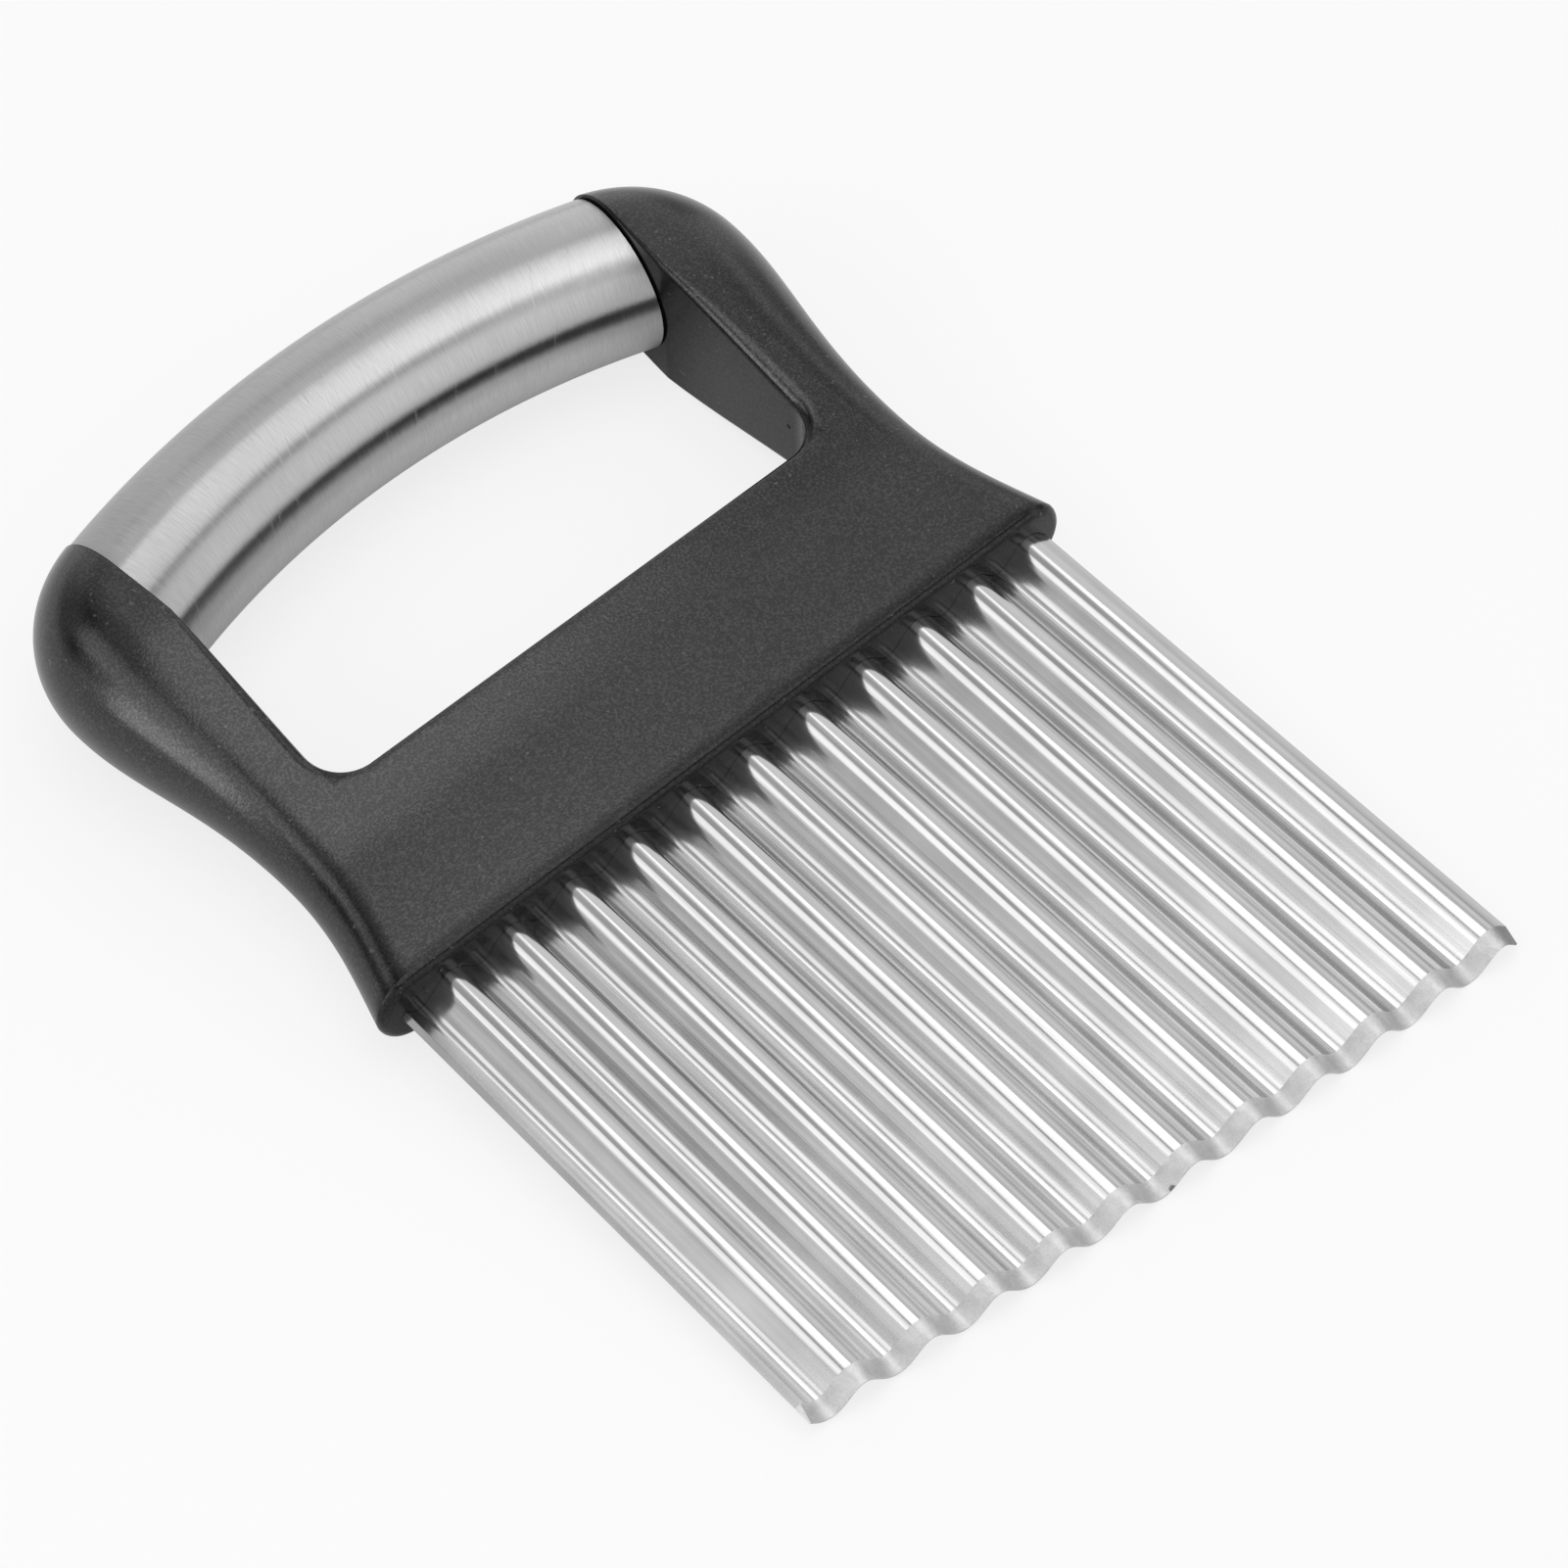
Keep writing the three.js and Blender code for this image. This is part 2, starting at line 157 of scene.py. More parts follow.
def welded(tree, parts):
    """Parts joined to one mesh, with the points that meet made one."""
    gather = tree.nodes.new("GeometryNodeJoinGeometry")
    for part in reversed(parts):
        tree.links.new(part, gather.inputs[0])
    weld_gap = 1e-4
    weld = tree.nodes.new("GeometryNodeMergeByDistance")
    weld.inputs["Distance"].default_value = weld_gap
    tree.links.new(gather.outputs[0], weld.inputs["Geometry"])
    return weld.outputs[0]


def grown(name, tree, sizes, shape, material, sharp_angle):
    """Ends the tree, grows it on a new object and returns that with a plain mesh, laid in place."""
    realize = tree.nodes.new("GeometryNodeRealizeInstances")
    tree.links.new(shape, realize.inputs[0])
    coat = tree.nodes.new("GeometryNodeSetMaterial")
    coat.inputs["Material"].default_value = material
    tree.links.new(realize.outputs[0], coat.inputs["Geometry"])
    tree.links.new(coat.outputs[0], tree.nodes.new("NodeGroupOutput").inputs[0])
    piece = bpy.data.objects.new(name, bpy.data.meshes.new(name))
    bpy.context.scene.collection.objects.link(piece)
    growth = piece.modifiers.new(tree.name, "NODES")
    growth.node_group = tree
    for item in tree.interface.items_tree:
        if item.in_out == "INPUT":
            growth[item.identifier] = float(sizes[item.name])
    depsgraph = bpy.context.evaluated_depsgraph_get()
    mesh = bpy.data.meshes.new_from_object(piece.evaluated_get(depsgraph))
    piece.modifiers.remove(growth)
    piece.data = mesh
    mesh.materials.clear()
    mesh.materials.append(material)
    mesh.polygons.foreach_set("material_index", [0] * len(mesh.polygons))
    mesh.transform(lay)
    finish_mesh(mesh, sharp_angle)
    return piece


def finish_mesh(mesh, sharp_angle):
    """Welds a mesh, turns its faces outwards, and shades it smooth except at its edges."""
    weld_gap = 2e-7
    work = bmesh.new()
    work.from_mesh(mesh)
    bmesh.ops.remove_doubles(work, verts=work.verts, dist=weld_gap)
    bmesh.ops.recalc_face_normals(work, faces=work.faces)
    work.to_mesh(mesh)
    work.free()
    mesh.shade_smooth()
    mesh.set_sharp_from_angle(angle=math.radians(sharp_angle))


def new_finish(name):
    """A material with its tree, its shader, and the flat drawing's x, y and z in millimetres."""
    material = bpy.data.materials.new(name)
    material.use_nodes = True
    tree = material.node_tree
    shader = tree.nodes["Principled BSDF"]
    place = tree.nodes.new("ShaderNodeMapping")
    place.vector_type = "TEXTURE"
    place.inputs["Location"].default_value = rest
    place.inputs["Rotation"].default_value = (tilt, 0, 0)
    place.inputs["Scale"].default_value = (mm, mm, mm)
    tree.links.new(tree.nodes.new("ShaderNodeTexCoord").outputs["Object"], place.inputs["Vector"])
    return material, tree, shader, split(tree, place.outputs[0])


def noise(tree, vector, scale, detail=2.0, roughness=0.5):
    """A noise from 0 to 1; its scale counts blots in each millimetre."""
    node = tree.nodes.new("ShaderNodeTexNoise")
    node.inputs["Scale"].default_value = scale
    node.inputs["Detail"].default_value = detail
    node.inputs["Roughness"].default_value = roughness
    tree.links.new(vector, node.inputs["Vector"])
    return Wire(tree, node.outputs["Fac"])


def tone(tree, wire, dark, light):
    """A grey between two values, driven by a wire from 0 to 1."""
    level = wire * (light - dark) + dark
    return joined(tree, level, level, level)


def raise_surface(tree, shader, wire, height_mm):
    """Fine relief of a surface, as high as the wire says."""
    bump = tree.nodes.new("ShaderNodeBump")
    bump.inputs["Strength"].default_value = 1.0
    bump.inputs["Distance"].default_value = height_mm * mm
    tree.links.new(wire.socket, bump.inputs["Height"])
    tree.links.new(bump.outputs[0], shader.inputs["Normal"])


def mark(x, y, z, spot, radius):
    """1 in a small spot of the drawing and 0 round it."""
    away = [wire - at for wire, at in zip((x, y, z), spot)]
    squares = [gap * gap for gap in away]
    return (squares[0] + squares[1] + squares[2]).op("SQRT").ramp(radius, radius * 0.6)


def polished_steel():
    """Polished sheet with faint drawing lines down the ridges, duller in the troughs."""
    material, tree, shader, (x, y, z) = new_finish("polished steel")
    shader.inputs["Metallic"].default_value = 1.0
    lines = noise(tree, joined(tree, x, y * 0.01, 0.0), scale=2.2, detail=1.5)
    hazy = noise(tree, joined(tree, x, y, z), scale=0.12, detail=3.0)
    level = lines * 0.5 + hazy * 0.5
    grey = tone(tree, level.ramp(0.3, 0.7), dark=0.485, light=0.56)
    tree.links.new(grey, shader.inputs["Base Color"])
    in_trough = z.ramp(0.6, -0.6)
    rough = hazy * 0.06 + in_trough * 0.05 + 0.11
    tree.links.new(rough.socket, shader.inputs["Roughness"])
    raise_surface(tree, shader, lines, height_mm=0.02)
    return material


def ground_steel():
    """The dull ground bevel, painted dark at the right-hand corner as shade, and nicked near the middle.
    """
    material, tree, shader, (x, y, z) = new_finish("ground steel")
    shader.inputs["Metallic"].default_value = 1.0
    grain = noise(tree, joined(tree, x, y, z), scale=3.5, detail=4.0, roughness=0.65)
    cloud = noise(tree, joined(tree, x, y, z), scale=0.7)
    level = grain * 0.6 + cloud * 0.4
    # Painted shade: the right-hand corner of the bevel, which faces away from the light, is darkened.
    shaded_corner = x.ramp(shaded_corner_from, shaded_corner_to)
    nick = mark(x, y, z, edge_nick, nick_radius)
    level = level.ramp(0.3, 0.7) - shaded_corner * 2.2 - nick * 3.0
    tree.links.new(tone(tree, level, dark=0.54, light=0.68), shader.inputs["Base Color"])
    tree.links.new((grain * 0.2 + 0.40).socket, shader.inputs["Roughness"])
    raise_surface(tree, shader, grain, height_mm=0.03)
    return material


def corrugated_blade():
    """The sheet with its ridges, bevel and tang, grown from its sizes."""
    sizes = {
        "Pitch": wave_pitch, "Depth": wave_depth, "Fullness": wave_fullness,
        "Crest Offset": crest_offset,
        "Thickness": sheet_thickness, "Width": blade_width, "Reach": blade_reach, "Slant": edge_slant,
        "Bow Left": edge_bow_left, "Bow Right": edge_bow_right, "Bevel": bevel_width, "Land": edge_land,
        "Tang Depth": tang_depth, "Tang Width": tang_width, "Tang Step": tang_step,
    }
    tree, s = size_tree("corrugated sheet", sizes)
    # Rows run from the tang's end down the sheet; the last one is the cutting edge
    last, columns = 12, 801

    def sheet_point(across, row, front):
        """A point of the front (1) or the back (0), at a share of the width."""
        x = s["Width"] * (across - 0.5)
        angle = (x - s["Crest Offset"]) / s["Pitch"] * (2 * math.pi)
        swing = s["Depth"] * 0.5 / s["Fullness"].rsub(1.0)
        height = swing * (angle.op("COSINE") - (angle * 3.0).op("COSINE") * s["Fullness"])
        steep = angle.op("SINE") - (angle * 3.0).op("SINE") * s["Fullness"] * 3.0
        slope = swing * steep * (-2 * math.pi) / s["Pitch"]
        at_edge = row.op("GREATER_THAN", last - 0.5)
        offset = s["Thickness"] * (front - 0.5) - at_edge * front * (s["Thickness"] - s["Land"])
        lift = offset / (slope * slope + 1.0).op("SQRT")
        px = x - slope * lift
        bow = s["Bow Left"] + px.op("GREATER_THAN", 0.0) * (s["Bow Right"] - s["Bow Left"])
        bow = bow * (px * 2.0 / s["Width"]).op("POWER", 2.0)
        edge = bow - s["Reach"] - px * s["Slant"].op("TANGENT")
        body = s["Tang Depth"] + (edge + s["Bevel"] - s["Tang Depth"]) * (row / (last - 1.0))
        return px, body + at_edge * (edge - body), height + lift

    def skin(column, row):
        """Down the front, up the back, and over the tang's end to the start."""
        front = row.op("LESS_THAN", last + 0.5).op("MAXIMUM", row.op("GREATER_THAN", 2 * last + 1.5))
        back_row = row.rsub(2.0 * last + 1)
        along = row.op("LESS_THAN", last + 0.5) * (row - back_row) + back_row
        along = along.clamp(0.0, last)
        return sheet_point(column / (columns - 1.0), along, front)

    def end_cap(side):
        return lambda column, row: sheet_point(column * 0.0 + side, row, column)

    sheet = welded(tree, [
        bent_grid(tree, columns, 2 * last + 3, skin),
        bent_grid(tree, 2, last + 1, end_cap(0.0)),
        bent_grid(tree, 2, last + 1, end_cap(1.0)),
    ])
    trim = tree.nodes.new("GeometryNodeMeshBoolean")
    trim.operation = "DIFFERENCE"
    tree.links.new(sheet, trim.inputs["Mesh 1"])
    for side in (-1.0, 1.0):
        corner = tree.nodes.new("GeometryNodeMeshCube")
        block = joined(tree, s["Width"], s["Tang Depth"] * 2.0, s["Depth"] * 3.0)
        tree.links.new(block, corner.inputs["Size"])
        move = tree.nodes.new("GeometryNodeTransform")
        beside = (s["Tang Width"] + s["Width"]) * (0.5 * side)
        block_place = joined(tree, beside, s["Tang Step"] + s["Tang Depth"], 0.0)
        tree.links.new(block_place, move.inputs["Translation"])
        tree.links.new(corner.outputs["Mesh"], move.inputs["Geometry"])
        tree.links.new(move.outputs[0], trim.inputs["Mesh 2"])
    return grown("corrugated_blade", tree, sizes, trim.outputs[0], polished_steel(), sharp_angle=9)


def on_drawing(points):
    """Points of a laid piece, in millimetres of the flat drawing."""
    back = np.array(lay.inverted())
    return points @ back[:3, :3].T + back[:3, 3]


def mesh_points(mesh):
    """All points of a mesh, one in each row."""
    points = np.empty(len(mesh.vertices) * 3)
    mesh.vertices.foreach_get("co", points)
    return points.reshape(-1, 3)


blade = corrugated_blade()
blade.data.materials.append(ground_steel())
ground_share = 0.75
for face in blade.data.polygons:
    x, y, z = on_drawing(np.array(face.center)[None])[0]
    edge_bow = edge_bow_right if x > 0 else edge_bow_left
    edge_y = edge_bow * (2 * x / blade_width) ** 2 - blade_reach - x * math.tan(edge_slant)
    face.material_index = int(y - edge_y < bevel_width * ground_share)
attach(blade, "root")
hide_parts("blade")

# Yoke: one moulding of black plastic, a flat bar that grips the blade and two arms that swell into
# shoulders for the grip. It is moulded round the blade's tang in a tool with a fine spark-eroded grain.

lip_half_width, lip_half_thickness, lip_round, lip_flare = 52.8, 5.5, 1.2, math.radians(16)
waist_half_width, waist_height = 48.6, 23.0
shoulder_half_width, shoulder_height, shoulder_half_thickness = 53.2, 59.0, 11.4
crown_pull, shoulder_pull, arm_pull, waist_pull, flare_pull, lip_pull = 8.0, 8.5, 11.0, 17.0, 9.0, 6.5
swell_start, swell_end, flank_roundness = 16.0, 60.0, 0.92
opening_half_width, opening_floor, opening_corner, opening_round = 37.9, 26.2, 5.5, 0.9
foot_round, ejector_mark, ejector_radius = 1.7, (37.9, 32.55, 1.16), 0.45
seat_foot, seat_lean = 56.0, math.radians(6.5)
tube_radius, arch_radius, arch_height = 10.35, 121.0, 72.6
arch_centre = np.array((0.0, arch_height - arch_radius))
crown_radius = arch_radius + tube_radius


def seat_point(radius):
    """Point of an arm's leaning seat at a distance from the arch's centre."""
    foot = np.array((opening_half_width, seat_foot)) - arch_centre
    along = np.array((math.sin(seat_lean), math.cos(seat_lean)))
    middle = foot @ along
    return foot + along * (math.sqrt(middle ** 2 - foot @ foot + radius ** 2) - middle) + arch_centre


def bezier(a, b, c, d, t):
    """Points of a cubic curve with the corners a to d, at the shares t of its run."""
    t = np.asarray(t)[:, None]
    a, b, c, d = (np.asarray(p, float) for p in (a, b, c, d))
    return (1 - t) ** 3 * a + 3 * (1 - t) ** 2 * t * b + 3 * (1 - t) * t ** 2 * c + t ** 3 * d


crown_end = seat_point(crown_radius)
crown_slope = math.asin(crown_end[0] / crown_radius)
crown_along = np.array((math.cos(crown_slope), -math.sin(crown_slope)))
shoulder = (shoulder_half_width, shoulder_height)
waist = (waist_half_width, waist_height)
lip_end = (lip_half_width, lip_round)
above_lip = (lip_half_width - lip_pull * math.tan(lip_flare), lip_round + lip_pull)
flank = [
    (crown_end, crown_end + crown_along * crown_pull,
     (shoulder_half_width, shoulder_height + shoulder_pull), shoulder),
    (shoulder, (shoulder_half_width, shoulder_height - arm_pull),
     (waist_half_width, waist_height + waist_pull), waist),
    (waist, (waist_half_width, waist_height - flare_pull), above_lip, lip_end),
]


def flank_chords():
    """Points along the moulding's right outline, from the top of the arch to the lip."""
    crown_steps, curve_points = 24, 120
    angles = np.linspace(0, crown_slope, crown_steps, endpoint=False)
    crown = arch_centre + crown_radius * np.stack((np.sin(angles), np.cos(angles)), 1)
    curves = [bezier(*curve, np.linspace(0, 1, curve_points)) for curve in flank]
    return np.concatenate([crown] + curves)


def distance_to_flank(at):
    """How far points of the drawing lie from the outline on their side."""
    points = at.reshape(-1, 2).copy()
    points[:, 0] = np.abs(points[:, 0])
    chords = flank_chords()
    start, step = chords[:-1], np.diff(chords, axis=0)
    best = np.full(len(points), np.inf)
    for a, d in zip(start, step):
        size = d @ d
        if size == 0:
            continue
        t = np.clip((points - a) @ d / size, 0, 1)[:, None]
        best = np.minimum(best, np.linalg.norm(points - a - t * d, axis=1))
    return best.reshape(at.shape[:-1])


def half_thickness(at):
    """Half the moulding's thickness: flat at the bar, swelling to the shoulders, round at the flanks."""
    swell = np.clip((at[..., 1] - swell_start) / (swell_end - swell_start), 0, 1)
    growth = shoulder_half_thickness - lip_half_thickness
    full = lip_half_thickness + growth * swell ** 2 * (3 - 2 * swell)
    inside = np.minimum(distance_to_flank(at) / (flank_roundness * full), 1)
    return full * np.sqrt(1 - (1 - inside) ** 2)


def half_stations():
    """Stations of one half, from the tube down the arm, round the corner and along the bar."""
    corner = np.array((opening_half_width - opening_corner, opening_floor + opening_corner))
    foot = np.array((opening_half_width, seat_foot))
    fall = crown_end[1] - corner[1]
    shoulder_steps, arm_steps, foot_steps, turn_steps, bar_points = 64, 56, 36, 44, 16
    stations = []

    def down_wall(curve, steps, start, end, inward):
        """Stations between a straight wall and a curve of the flank, softer towards the foot."""
        t = np.arange(steps) / steps
        for share, outer in zip(t, bezier(*curve, t)):
            wall = start + (end - start) * share
            drop = np.clip((crown_end[1] - wall[1]) / fall, 0, 1)
            stations.append((wall, inward, outer, foot_round * drop ** 2 * (3 - 2 * drop), False))

    seat_inward = np.array((math.cos(seat_lean), -math.sin(seat_lean)))
    down_wall(flank[0], shoulder_steps, crown_end, foot, seat_inward)
    wall_end = np.array((opening_half_width, corner[1]))
    down_wall(flank[1], arm_steps, foot, wall_end, np.array((1.0, 0.0)))

    def round_corner(steps, start, outer_at, on_lip):
        """Stations over an eighth of a turn of the opening's corner."""
        for i in range(steps):
            angle = start + math.pi / 4 * i / steps
            inward = np.array((math.cos(angle), -math.sin(angle)))
            soft = foot_round + (opening_round - foot_round) * angle / (math.pi / 2)
            wall = corner + inward * opening_corner
            stations.append((wall, inward, outer_at(i / steps), soft, on_lip))

    def along_lip(share):
        """Point of the lip at a share of the way in from its end."""
        return np.array((lip_half_width + (corner[0] - lip_half_width) * share ** 2, lip_round))

    round_corner(foot_steps, 0, lambda share: bezier(*flank[2], [share])[0], False)
    round_corner(turn_steps, math.pi / 4, along_lip, True)
    for x in np.linspace(corner[0], 0, bar_points):
        wall, outer = np.array((x, opening_floor)), np.array((x, lip_round))
        stations.append((wall, np.array((0.0, -1.0)), outer, opening_round, True))
    return stations


def station_points(wall, inward, outer, soft, on_lip):
    """Front points of a station: round the wall's soft edge, then over the face to flank or lip."""
    edge_points, face_points = 9, 45
    turns = np.linspace(math.pi / 2, 0, edge_points)[:-1]
    rim = wall + inward * soft
    rim_height = float(half_thickness(rim))
    edge = wall + inward * (soft * (1 - np.sin(turns)))[:, None]
    edge_height = np.maximum(rim_height - soft * (1 - np.cos(turns)), 0)
    face = rim + (outer - rim) * np.sin(np.linspace(0, math.pi / 2, face_points))[:, None]
    height = half_thickness(face)
    if not on_lip:
        height[-1] = 0
    at = np.concatenate((edge, face))
    return np.column_stack((at, np.concatenate((edge_height, height))))


def lip_rings(loop):
    """Rings of the rounded lip, from the closed loop at its upper end down to its flat underside."""
    before, after = np.roll(loop, 1, axis=0), np.roll(loop, -1, axis=0)
    outward = np.stack((after[:, 2] - before[:, 2], np.zeros(len(loop)), before[:, 0] - after[:, 0]), 1)
    outward /= np.linalg.norm(outward, axis=1)[:, None]
    ring_count, rings = 7, []
    for angle in np.linspace(0, math.pi / 2, ring_count):
        ring = loop + outward * (lip_round * (math.cos(angle) - 1))
        ring[:, 1] = lip_round * (1 - math.sin(angle))
        rings.append(ring)
    return rings


class Shell:
    """Faces gathered from grids of points; corners that meet are welded later."""

    def __init__(self):
        self.points, self.faces = [], []

    def grid(self, rows):
        """Faces between rows of points, each row as long as the next."""
        rows = np.asarray(rows)
        start, (count, width) = len(self.points), rows.shape[:2]
        self.points.extend(rows.reshape(-1, 3))
        for i in range(count - 1):
            for j in range(width - 1):
                a = start + i * width + j
                self.faces.append((a, a + 1, a + width + 1, a + width))

    def flat_ring(self, outer, inner):
        """A flat face between two loops of points, the inner one a hole."""
        start = len(self.points)
        loops = [[Vector((p[0], p[2], 0)) for p in loop] for loop in (outer, inner)]
        self.points.extend(list(outer) + list(inner))
        triangles = geometry.tessellate_polygon(loops)
        self.faces.extend(tuple(start + i for i in triangle) for triangle in triangles)

    def piece(self, name, material, sharp_angle):
        """The gathered faces as a finished object, laid in place."""
        mesh = bpy.data.meshes.new(name)
        mesh.from_pydata([lay @ Vector(p) for p in self.points], [], self.faces)
        finish_mesh(mesh, sharp_angle)
        mesh.materials.append(material)
        made = bpy.data.objects.new(name, mesh)
        bpy.context.scene.collection.objects.link(made)
        return made


def slot_line(width, offset, y):
    """One side of the slot for the tang, at a height above the lip."""
    points = 281
    x = np.linspace(-width / 2, width / 2, points)
    angle = (x - crest_offset) * 2 * math.pi / wave_pitch
    swing = wave_depth / 2 / (1 - wave_fullness)
    slope = -swing * 2 * math.pi / wave_pitch * (np.sin(angle) - 3 * wave_fullness * np.sin(3 * angle))
    lift = offset / np.hypot(1, slope)
    height = swing * (np.cos(angle) - wave_fullness * np.cos(3 * angle))
    return np.stack((x - slope * lift, np.full_like(x, y), height + lift), 1)


def black_plastic(name):
    """Finely grained plastic with a few specks, its gloss cut as painted shade on the opening's walls
    and at the blade.
    """
    material, tree, shader, (x, y, z) = new_finish(name)
    flat = joined(tree, x, y, z)
    grain = noise(tree, flat, scale=3.2, detail=3.0, roughness=0.55)
    cloud = noise(tree, flat, scale=0.09, detail=3.0)
    specks = noise(tree, flat, scale=1.1, detail=1.0).ramp(0.725, 0.755)
    wall = (y - seat_foot).op("MAXIMUM", 0.0) * math.tan(seat_lean) + opening_half_width
    above_floor = y.ramp(opening_floor - 0.4, opening_floor + 0.2)
    on_wall = (x.op("ABSOLUTE") - wall).ramp(0.35, 0.05) * above_floor
    level = cloud.ramp(0.3, 0.7) * 0.5 + grain.ramp(0.35, 0.65) * 0.4 + specks * 8.0
    tree.links.new(tone(tree, level, dark=0.003, light=0.008), shader.inputs["Base Color"])
    pin_mark = mark(x, y, z, ejector_mark, ejector_radius)
    # Painted shade: gloss is cut on the opening's walls, more towards the tube, and on the lip next to
    # the blade, darkening what they reflect.
    tube_wall_shade, lip_crevice_shade = y.ramp(44, 58), y.ramp(3.0, 0.8)
    gloss = grain.ramp(0.4, 0.7) * 0.36 + 0.485
    gloss = gloss * (on_wall * (tube_wall_shade * 0.35 + 0.4)).rsub(1.0) * (pin_mark * 0.9).rsub(1.0)
    gloss = gloss * (lip_crevice_shade * 0.55).rsub(1.0)
    tree.links.new(gloss.socket, shader.inputs["Specular IOR Level"])
    tree.links.new((grain * 0.08 + cloud * 0.05 + 0.12).socket, shader.inputs["Roughness"])
    relief = (grain + specks * 0.6) * (on_wall * 0.6).rsub(1.0)
    raise_surface(tree, shader, relief, height_mm=0.018)
    return material


def moulded_yoke():
    """The moulding's skin from its stations, both halves and both faces, with the slot for the tang."""
    right = half_stations()
    rows = [station_points(*station) for station in right]
    lip = [row[-1] for row, station in zip(rows, right) if station[4]]
    lip[0][2] = 0
    flip_x, flip_z = np.array((-1, 1, 1)), np.array((1, 1, -1))
    front = np.array(rows + [row * flip_x for row in rows[-2::-1]])
    shell = Shell()
    shell.grid(front)
    shell.grid(front * flip_z)
    shell.grid(np.stack((front[:, 0] * flip_z, front[:, 0]), 1))

    front_lip = np.array(lip + [point * flip_x for point in lip[-2::-1]])
    rings = lip_rings(np.concatenate((front_lip, front_lip[-2:0:-1] * flip_z)))
    shell.grid([np.concatenate((ring, ring[:1])) for ring in rings])

    # The plastic lies this close round the tang
    hug = 0.05
    half, wide, narrow = sheet_thickness / 2 + hug, blade_width + 2 * hug, tang_width + 2 * hug
    step_y, end_y = tang_step + hug, tang_depth + hug
    levels = [(wide, 0.0), (wide, step_y), (narrow, step_y), (narrow, end_y)]
    loops = []
    for width, y in levels:
        loops.append(np.concatenate((slot_line(width, half, y), slot_line(width, -half, y)[::-1])))
    shell.flat_ring(rings[-1], loops[0])
    for low, high in ((0, 1), (2, 3)):
        shell.grid([np.concatenate((loops[i], loops[i][:1])) for i in (low, high)])
    shell.flat_ring(loops[1], loops[2])
    top = loops[3].reshape(2, -1, 3)
    shell.grid([top[0], top[1][::-1]])
    return shell.piece("moulded_yoke", black_plastic("black plastic"), sharp_angle=32)


yoke = moulded_yoke()
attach(yoke, "root")
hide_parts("yoke")

# End plugs: moulded of black plastic, pressed into the tube's ends, each with a stub that snaps into
# an arm. They keep the solids' own shape, because only a hair line of them shows between tube and arm.

plug_plastic = black_plastic("plug plastic")
for name in ("end_plug_left", "end_plug_right"):
    plug = frame["nodes"][name]
    plug.data.materials.clear()
    plug.data.materials.append(plug_plastic)

# Grip tube: thin stainless tube bent to an arch, brushed round and round before it was bent.
# Its ends are cut to the lean of the arms and sit against them, held by the plugs inside.

tube_wall, tube_gap = 0.8, 0.3


def brushed_steel():
    """Steel brushed round the tube, with slanting scratches, and painted light that makes it lighter to
    the right and underneath.
    """
    material, tree, shader, (x, y, z) = new_finish("brushed steel")
    shader.inputs["Metallic"].default_value = 1.0
    rise = y - float(arch_centre[1])
    along = x.op("ARCTAN2", rise) * arch_radius
    out = (x * x + rise * rise).op("SQRT") - arch_radius
    around = z.op("ARCTAN2", out) * tube_radius
    brushed = joined(tree, along, around * 0.06, 0.0)
    strokes = noise(tree, brushed, scale=5.0, detail=3.0, roughness=0.6)
    broad = noise(tree, joined(tree, along, around * 0.25, 0.0), scale=0.5)
    cloud = noise(tree, joined(tree, x, y, z), scale=0.07, detail=3.0)
    askew = joined(tree, along + around * 0.4, around * 0.03, 0.0)
    scratches = noise(tree, askew, scale=2.6, detail=1.0).ramp(0.66, 0.74)
    # Painted reflection: the underside is made lighter, standing in for the bright table it mirrors.
    painted_underside_light = z.ramp(2.5, 0.5) * out.ramp(-2.0, -6.0)
    level = strokes * 0.9 - 0.2 + broad * 0.2 + cloud * 0.3
    # Painted highlight: the tone rises along the arch towards the right-hand end.
    level = level + along * 0.0045 + scratches * 0.1 + painted_underside_light * 0.3
    grey = tone(tree, (level - 0.3) / 0.4, dark=0.42, light=0.525)
    tree.links.new(grey, shader.inputs["Base Color"])
    tree.links.new((strokes * 0.10 + broad * 0.06 + 0.25).socket, shader.inputs["Roughness"])
    shader.inputs["Anisotropic"].default_value = 0.97
    lengthwise = tree.nodes.new("ShaderNodeTangent")
    lengthwise.direction_type, lengthwise.uv_map = "UV_MAP", "wrap"
    tree.links.new(lengthwise.outputs[0], shader.inputs["Tangent"])
    raise_surface(tree, shader, strokes + scratches * 0.4, height_mm=0.036)
    return material


def arched_tube():
    """The bent tube with its wall and its slanted ends, grown from its sizes."""
    end = seat_point(arch_radius)
    lean_x, lean_y = math.cos(seat_lean), -math.sin(seat_lean)
    sizes = {
        "Arch Radius": arch_radius, "Tube Radius": tube_radius, "Wall": tube_wall, "Lean": seat_lean,
        "End Offset": end[0] * lean_x + (end[1] - arch_centre[1]) * lean_y - tube_gap,
        "Centre": arch_centre[1],
    }
    tree, s = size_tree("arched tube", sizes)
    lengths, sides = 96, 96

    def tube_point(column, row):
        """Along the outside, back along the bore, and over the end to the start."""
        around = row * (2 * math.pi / sides)
        inner = column.op("GREATER_THAN", lengths + 0.5) * column.op("LESS_THAN", 2 * lengths + 1.5)
        back = column.rsub(2.0 * lengths + 1)
        step = (column + inner * (back - column)) * column.op("LESS_THAN", 2 * lengths + 1.5)
        radius = s["Tube Radius"] - inner * s["Wall"]
        reach = s["Arch Radius"] + radius * around.op("COSINE")
        half_angle = (s["End Offset"] / reach).op("ARCSINE") + s["Lean"]
        angle = half_angle * (step * (2.0 / lengths) - 1.0)
        height = radius * around.op("SINE")
        return reach * angle.op("SINE"), reach * angle.op("COSINE") + s["Centre"], height

    shape = welded(tree, [bent_grid(tree, 2 * lengths + 3, sides + 1, tube_point)])
    return grown("arched_tube", tree, sizes, shape, brushed_steel(), sharp_angle=40)


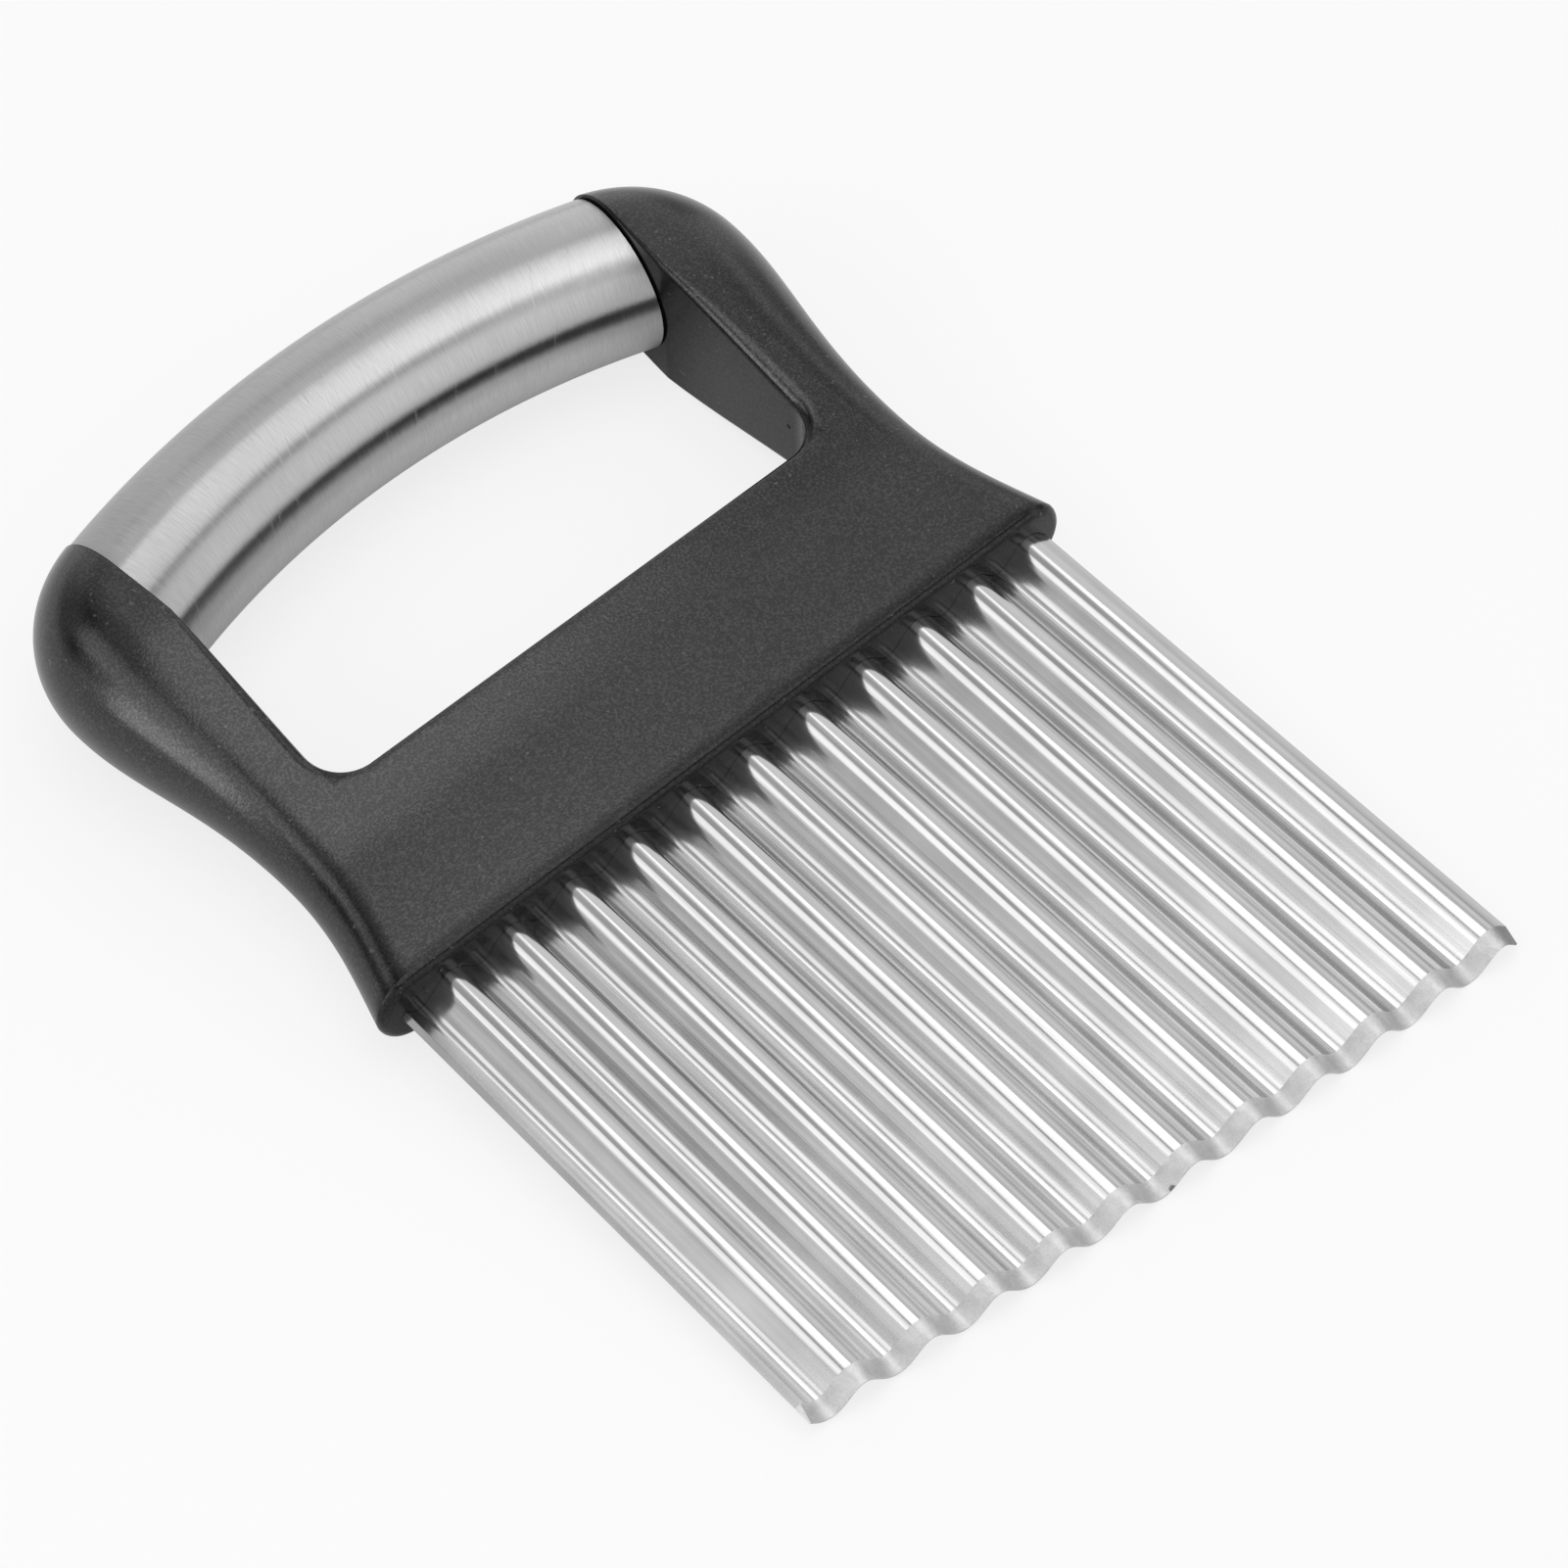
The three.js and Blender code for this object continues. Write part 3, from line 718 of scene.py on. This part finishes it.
def wrap_tube(mesh):
    """Lays a map round the tube, u along the arch and v around the wall, its seam on the underside."""
    corner_of = np.empty(len(mesh.loops), int)
    mesh.loops.foreach_get("vertex_index", corner_of)
    x, y, z = on_drawing(mesh_points(mesh)).T
    rise = y - arch_centre[1]
    along = np.arctan2(x, rise) * arch_radius
    around = np.arctan2(np.hypot(x, rise) - arch_radius, z)
    start = np.empty(len(mesh.polygons), int)
    mesh.polygons.foreach_get("loop_start", start)
    turn_of = around[corner_of]
    low, high = np.minimum.reduceat(turn_of, start), np.maximum.reduceat(turn_of, start)
    crosses = np.repeat(high - low > math.pi, np.diff(np.append(start, len(turn_of))))
    turn_of = np.where(crosses & (turn_of < 0), turn_of + 2 * math.pi, turn_of)
    map_size = 100
    spread = np.stack((along[corner_of], turn_of * tube_radius), 1) / map_size
    mesh.uv_layers.new(name="wrap").uv.foreach_set("vector", spread.ravel())


tube = arched_tube()
wrap_tube(tube.data)
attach(tube, "root")
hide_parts("grip_tube")

# Floor, light and camera: a plain white table in a white room, darker and lighter in places, with a
# large soft box overhead and one at the left, and a long lens that looks down on the cutter's front.

floor_half, floor_grey, paper_seen, paper_mirrored = 3.0, 0.76, 0.78, 0.17
floor_mesh = bpy.data.meshes.new("floor")
floor_corners = [(x * floor_half, y * floor_half, 0.0) for x, y in ((-1, -1), (1, -1), (1, 1), (-1, 1))]
floor_mesh.from_pydata(floor_corners, [], [(0, 1, 2, 3)])
floor_paint = bpy.data.materials.new("white table")
floor_paint.use_nodes = True
floor_tree = floor_paint.node_tree
floor_shader = floor_tree.nodes["Principled BSDF"]
floor_shader.inputs["Base Color"].default_value = (floor_grey, floor_grey, floor_grey, 1)
floor_shader.inputs["Roughness"].default_value = 0.9
floor_shader.inputs["Specular IOR Level"].default_value = 0.0
seen = floor_tree.nodes.new("ShaderNodeLightPath")
seen_as = [Wire(floor_tree, seen.outputs[ray]) for ray in
           ("Is Camera Ray", "Is Glossy Ray", "Is Transmission Ray")]
paper = floor_tree.nodes.new("ShaderNodeEmission")
paper_mix = floor_tree.nodes.new("ShaderNodeMixShader")
paper_share = seen_as[0] * paper_seen + seen_as[1].op("MAXIMUM", seen_as[2]) * paper_mirrored
floor_tree.links.new(paper_share.socket, paper_mix.inputs["Fac"])
floor_tree.links.new(floor_shader.outputs[0], paper_mix.inputs[1])
floor_tree.links.new(paper.outputs[0], paper_mix.inputs[2])
floor_tree.links.new(paper_mix.outputs[0], floor_tree.nodes["Material Output"].inputs["Surface"])
floor_mesh.materials.append(floor_paint)
floor = bpy.data.objects.new("floor", floor_mesh)
bpy.context.scene.collection.objects.link(floor)


def soft_box(name, centre, target, roll, width, height, radiance):
    """A soft box that looks as bright from everywhere as its radiance says."""
    lamp = bpy.data.lights.new(name, "AREA")
    lamp.shape, lamp.size, lamp.size_y = "RECTANGLE", width, height
    lamp.energy = radiance * math.pi * width * height
    holder = bpy.data.objects.new(name, lamp)
    aim = (Vector(target) - Vector(centre)).to_track_quat("-Z", "Y").to_matrix()
    aim = aim @ Matrix.Rotation(roll, 3, "Z")
    holder.matrix_world = Matrix.Translation(centre) @ aim.to_4x4()
    bpy.context.scene.collection.objects.link(holder)


soft_box("soft box overhead", centre=(-0.010, -0.058, 0.506), target=(-0.010, -0.023, 0.0),
         roll=math.radians(20), width=0.526, height=0.450, radiance=1.42)
soft_box("soft box left", centre=(-0.44, 0.155, 0.425), target=(0.0, -0.03, 0.01),
         roll=0.0, width=0.6, height=0.24, radiance=0.95)


def white_room():
    """The room as steel and plastic mirror it: 1 all round, less a dark place or more a light one."""
    world = bpy.data.worlds.new("white room")
    world.use_nodes = True
    tree = world.node_tree
    x, y, z = split(tree, tree.nodes.new("ShaderNodeTexCoord").outputs["Generated"])
    # Angles in degrees: from straight up to the right, and from the left round to the back
    up_to_right = x.op("ARCTAN2", z) * math.degrees(1)
    left_to_back = y.op("ARCTAN2", x * -1.0) * math.degrees(1)
    back_right = x.ramp(0.05, 0.30) * y.ramp(0.15, 0.4)
    dark_ceiling = z.ramp(0.60, 0.76) * back_right.rsub(1.0) * 0.42
    dark_left = up_to_right.ramp(-58, -62) * up_to_right.ramp(-74, -68) * 0.1
    dark_back = x.ramp(0.1, -0.3) * y.ramp(0.40, 0.62) * z.ramp(0.0, 0.3) * 0.6
    dark_front = y.ramp(-0.42, -0.52) * y.ramp(-0.68, -0.58) * z.ramp(0.58, 0.68) * 0.6
    dark_right = x.ramp(0.80, 0.98) * (y.ramp(0.38, 0.26) * 0.45 + 0.3)
    dark_corner = x.ramp(0.60, 0.78) * y.ramp(0.46, 0.56) * 0.6
    low_window = left_to_back.ramp(5, 9) * left_to_back.ramp(19, 12)
    low_window = low_window * z.ramp(-0.02, 0.1) * z.ramp(0.60, 0.42) * 3.6
    window_edge = left_to_back.ramp(5, 9) * left_to_back.ramp(24, 20.5)
    window_edge = window_edge * z.ramp(0.22, 0.32) * z.ramp(0.60, 0.48) * 0.15
    dark_behind = y.ramp(0.31, 0.40) * x.ramp(-0.55, -0.70)
    dark_behind = dark_behind * z.ramp(0.25, 0.35) * z.ramp(0.68, 0.56) * 0.2
    front_glow = y.ramp(-0.4, -0.7) * x.ramp(0.15, 0.50) * 0.5
    dark = dark_ceiling + dark_left + dark_back + dark_right + dark_corner + dark_behind + dark_front
    light_right = x * 0.1
    light = low_window + window_edge + front_glow + light_right
    level = (dark - light).rsub(1.0)
    tree.links.new(joined(tree, level, level, level), tree.nodes["Background"].inputs["Color"])
    return world


bpy.context.scene.world = white_room()

# The camera was fitted to the picture: focal length in pixels, eye in the drawing, and picture axes
lens_pixels, frame_pixels = 5011.78, 1601.0
eye = Vector((-199.774, -253.214, 474.356))
right, down = Vector((0.745432, -0.665949, -0.029016)), Vector((-0.564708, -0.607781, -0.558307))
camera = bpy.data.cameras.new("camera")
camera.sensor_width = 36.0
camera.lens = camera.sensor_width * lens_pixels / frame_pixels
camera.clip_start, camera.clip_end = 0.01, 20.0
viewer = bpy.data.objects.new("camera", camera)
look = Matrix((right, -down, right.cross(-down))).transposed()
viewer.matrix_world = Matrix.Translation(lay @ eye) @ (turn @ look).to_4x4()
bpy.context.scene.collection.objects.link(viewer)
bpy.context.scene.camera = viewer
bpy.context.scene.view_settings.view_transform = "Standard"
